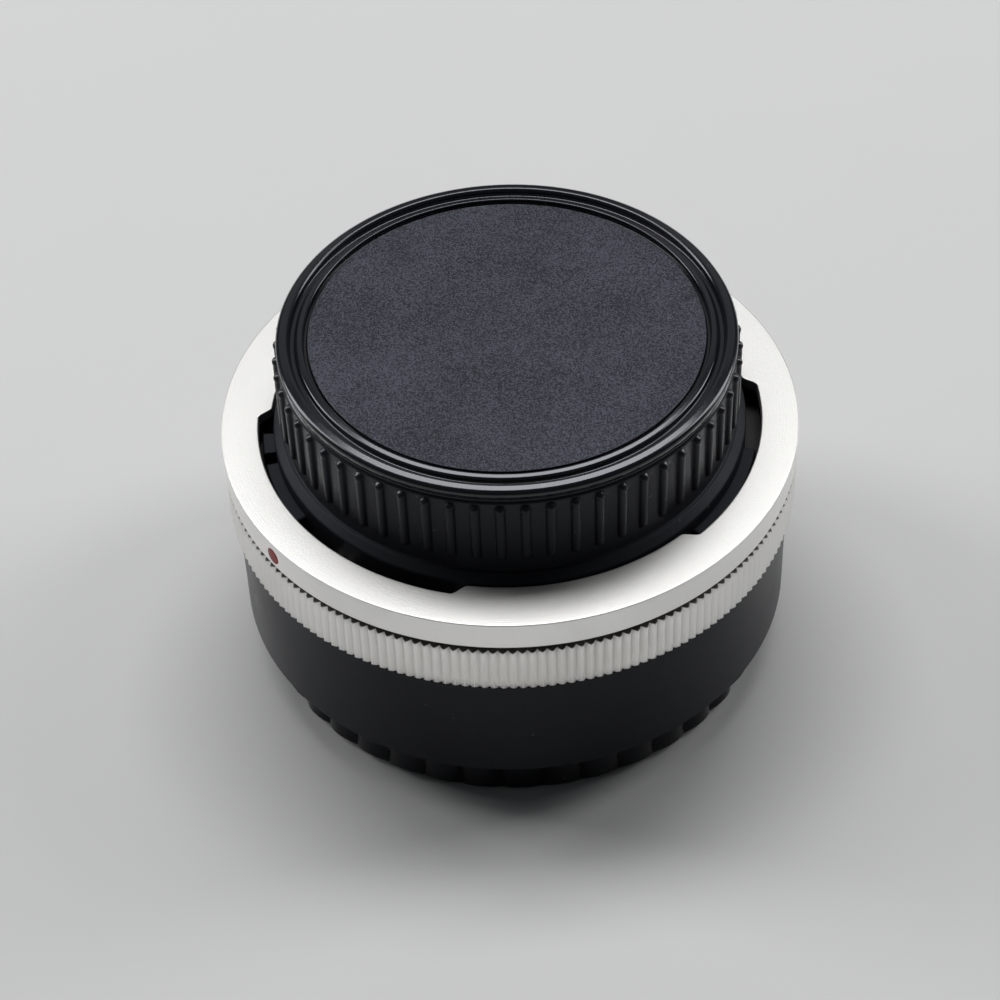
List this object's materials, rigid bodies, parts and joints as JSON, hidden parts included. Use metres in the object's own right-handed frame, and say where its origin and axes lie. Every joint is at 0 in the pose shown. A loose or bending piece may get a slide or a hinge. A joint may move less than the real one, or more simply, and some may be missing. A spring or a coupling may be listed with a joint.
{
  "type": "camera teleconverter",
  "caption": "Short round lens teleconverter with a knurled breech-lock ring and locking lugs, lens elements, aperture levers, and ribbed push-on caps over both mounts.",
  "frame": {"origin": "centre of the front cap's lower face, where the object stands", "axes": "+Z along the optical axis towards the camera side, +X to the right in the picture's view"},
  "size_m": [0.064, 0.064, 0.0436],
  "materials": {
    "black_anodised": "satin black anodised",
    "black_inner": "matt black",
    "silver": "satin",
    "chrome": "polished",
    "steel": "bright",
    "bronze": "plain",
    "red_paint": "filled paint",
    "glass": "coated",
    "cap_plastic": "fine texture"
  },
  "bodies": {
    "housing": {"barrel": "black_anodised", "front_mount": "chrome", "front_mount_screws": "steel", "front_index_dot": "red_paint", "rear_mount": "black_inner", "rear_mount_screws": "steel", "friction_washer": "bronze", "stop_pin": "steel", "lens_cell": "black_inner", "cell_screws": "steel", "lens_front": "glass", "lens_middle_front": "glass", "lens_middle_rear": "glass", "lens_rear": "glass", "front_retainer": "black_inner", "front_spacer": "black_inner", "rear_spacer": "black_inner", "rear_retainer": "black_inner", "baffle": "black_inner", "ring_clip": "steel", "spring_posts": "steel", "drive_spring": "steel", "signal_spring": "steel", "pin_plug": "black_inner", "pin_spring": "steel"},
    "breech_ring": {"grip_ring": "silver", "breech_flange": "silver", "ring_index_dot": "red_paint"},
    "drive": {"drive_ring": "steel"},
    "signal": {"signal_ring": "bronze"},
    "pin": {"signal_pin": "steel"},
    "rear_cap": {"rear_cap": "cap_plastic"},
    "front_cap": {"front_cap": "cap_plastic"}
  },
  "joints": [
    {"name": "breech_turn", "type": "hinge", "parent": "housing", "child": "breech_ring", "pos_m": [0, 0, 0], "axis": [0, 0, 1], "range_deg": [0, 55]},
    {"name": "drive_swing", "type": "hinge", "parent": "housing", "child": "drive", "pos_m": [0, 0, 0], "axis": [0, 0, 1], "range_deg": [0, 14], "stiffness_Nm_per_rad": 0.02, "springref_deg": -14.32, "deforming": ["drive_spring"]},
    {"name": "signal_swing", "type": "hinge", "parent": "housing", "child": "signal", "pos_m": [0, 0, 0], "axis": [0, 0, 1], "range_deg": [0, 40], "stiffness_Nm_per_rad": 0.01, "springref_deg": -20.05, "deforming": ["signal_spring"]},
    {"name": "pin_press", "type": "slide", "parent": "housing", "child": "pin", "axis": [0, 0, -1], "range_m": [0, 0.0015], "stiffness_N_per_m": 300, "springref_m": -0.0008, "deforming": ["pin_spring"]},
    {"name": "rear_cap_lift", "type": "slide", "parent": "housing", "child": "rear_cap", "axis": [0, 0, 1], "range_m": [0, 0.03]},
    {"name": "front_cap_pull", "type": "slide", "parent": "housing", "child": "front_cap", "axis": [0, 0, -1], "range_m": [0, 0.02]}
  ]
}
